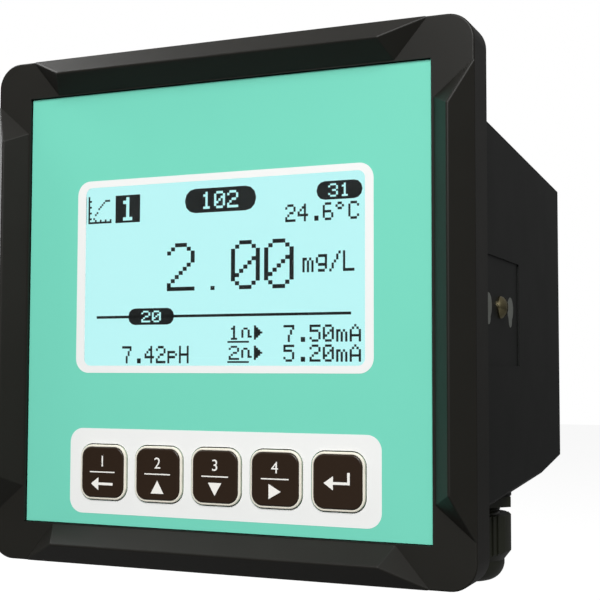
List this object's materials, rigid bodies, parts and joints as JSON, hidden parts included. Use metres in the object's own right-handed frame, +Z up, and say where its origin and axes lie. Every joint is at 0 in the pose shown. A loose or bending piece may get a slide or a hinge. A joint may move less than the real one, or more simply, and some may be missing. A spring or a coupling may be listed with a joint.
{
  "type": "chlorine analyzer",
  "caption": "Square panel-mount chlorine analyzer with a faceted black front frame, lit display, sprung keys, tapered rear housing and cable glands.",
  "frame": {"origin": "centre of the square panel cut-out, in the plane where the front frame rests on the panel", "axes": "+Y runs back through the panel, +X to the right seen from the front, +Z up"},
  "size_m": [0.144, 0.1295, 0.15],
  "materials": {
    "frame_abs": "fine satin moulded ABS",
    "housing_abs": "satin moulded ABS",
    "film_teal": "screen-printed polycarbonate film",
    "window_clear": "clear cast acrylic",
    "lcd_glass": "polarised display glass over a lit background",
    "light_guide": "white light guide",
    "display_frame_steel": "tinned steel",
    "circuit_board": "green solder resist on glass epoxy",
    "nylon_white": "nylon",
    "screw_steel": "zinc-plated steel",
    "clamp_screw_nickel": "dark nickel-plated steel",
    "clamp_socket_zinc": "die-cast zinc",
    "brass": "machined brass",
    "key_dark": "dark brown moulded cap",
    "key_cream": "cream moulded carrier",
    "switch_black": "black nylon",
    "gasket_rubber": "EPDM rubber",
    "gland_nylon": "black nylon",
    "terminal_grey": "green polyamide",
    "lamination_steel": "varnished steel laminations",
    "winding_tape": "yellow polyester tape over the winding",
    "relay_case": "blue relay case",
    "capacitor_sleeve": "black shrink sleeve",
    "fuse_glass": "glass tube with nickel caps",
    "tinned_steel": "tinned steel"
  },
  "bodies": {
    "instrument": {"backlight": "light_guide", "bezel_frame": "frame_abs", "board_connector": "switch_black", "board_standoffs": "brass", "clamp_inserts": "brass", "clamp_screws": "clamp_screw_nickel", "clamp_sockets": "clamp_socket_zinc", "collar_seal": "gasket_rubber", "display_window": "window_clear", "filter_capacitors": "capacitor_sleeve", "front_board": "circuit_board", "front_board_screws": "screw_steel", "fuse": "fuse_glass", "fuse_holder": "switch_black", "gland_bodies": "gland_nylon", "gland_locknuts": "gland_nylon", "gland_seals": "gasket_rubber", "housing": "housing_abs", "housing_screws": "screw_steel", "lcd_board": "circuit_board", "lcd_frame": "display_frame_steel", "lcd_glass": "lcd_glass", "lcd_spacers": "nylon_white", "lower_terminal_block": "terminal_grey", "main_board": "circuit_board", "main_board_screws": "screw_steel", "overlay_film": "film_teal", "panel_gasket": "gasket_rubber", "rear_cover": "housing_abs", "rear_cover_gasket": "gasket_rubber", "rear_cover_screws": "screw_steel", "relays": "relay_case", "sensor_board": "circuit_board", "sensor_board_screws": "screw_steel", "shield_can": "tinned_steel", "switch_bodies": "switch_black", "terminal_screws": "screw_steel", "transformer_core": "lamination_steel", "transformer_winding": "winding_tape", "upper_terminal_block": "terminal_grey"},
    "menu_key": {"menu_key_cap": "key_dark", "menu_key_carrier": "key_cream", "menu_switch_plunger": "switch_black"},
    "up_key": {"up_key_cap": "key_dark", "up_key_carrier": "key_cream", "up_switch_plunger": "switch_black"},
    "down_key": {"down_key_cap": "key_dark", "down_key_carrier": "key_cream", "down_switch_plunger": "switch_black"},
    "next_key": {"next_key_cap": "key_dark", "next_key_carrier": "key_cream", "next_switch_plunger": "switch_black"},
    "enter_key": {"enter_key_cap": "key_dark", "enter_key_carrier": "key_cream", "enter_switch_plunger": "switch_black"},
    "cable_nut_1": {"gland_nut_1": "gland_nylon"},
    "cable_nut_2": {"gland_nut_2": "gland_nylon"},
    "cable_nut_3": {"gland_nut_3": "gland_nylon"},
    "cable_nut_4": {"gland_nut_4": "gland_nylon"}
  },
  "joints": [
    {"name": "menu_key_press", "type": "slide", "parent": "instrument", "child": "menu_key", "axis": [0, 1, 0], "range_m": [0, 0.0005], "stiffness_N_per_m": 3000},
    {"name": "up_key_press", "type": "slide", "parent": "instrument", "child": "up_key", "axis": [0, 1, 0], "range_m": [0, 0.0005], "stiffness_N_per_m": 3000},
    {"name": "down_key_press", "type": "slide", "parent": "instrument", "child": "down_key", "axis": [0, 1, 0], "range_m": [0, 0.0005], "stiffness_N_per_m": 3000},
    {"name": "next_key_press", "type": "slide", "parent": "instrument", "child": "next_key", "axis": [0, 1, 0], "range_m": [0, 0.0005], "stiffness_N_per_m": 3000},
    {"name": "enter_key_press", "type": "slide", "parent": "instrument", "child": "enter_key", "axis": [0, 1, 0], "range_m": [0, 0.0005], "stiffness_N_per_m": 3000},
    {"name": "cable_nut_1_turn", "type": "hinge", "parent": "instrument", "child": "cable_nut_1", "pos_m": [-0.054, 0.0445, -0.069], "axis": [0, 0, -1], "range_deg": [0, 360]},
    {"name": "cable_nut_2_turn", "type": "hinge", "parent": "instrument", "child": "cable_nut_2", "pos_m": [-0.018, 0.0445, -0.069], "axis": [0, 0, -1], "range_deg": [0, 360]},
    {"name": "cable_nut_3_turn", "type": "hinge", "parent": "instrument", "child": "cable_nut_3", "pos_m": [0.018, 0.0445, -0.069], "axis": [0, 0, -1], "range_deg": [0, 360]},
    {"name": "cable_nut_4_turn", "type": "hinge", "parent": "instrument", "child": "cable_nut_4", "pos_m": [0.054, 0.0445, -0.069], "axis": [0, 0, -1], "range_deg": [0, 360]}
  ]
}
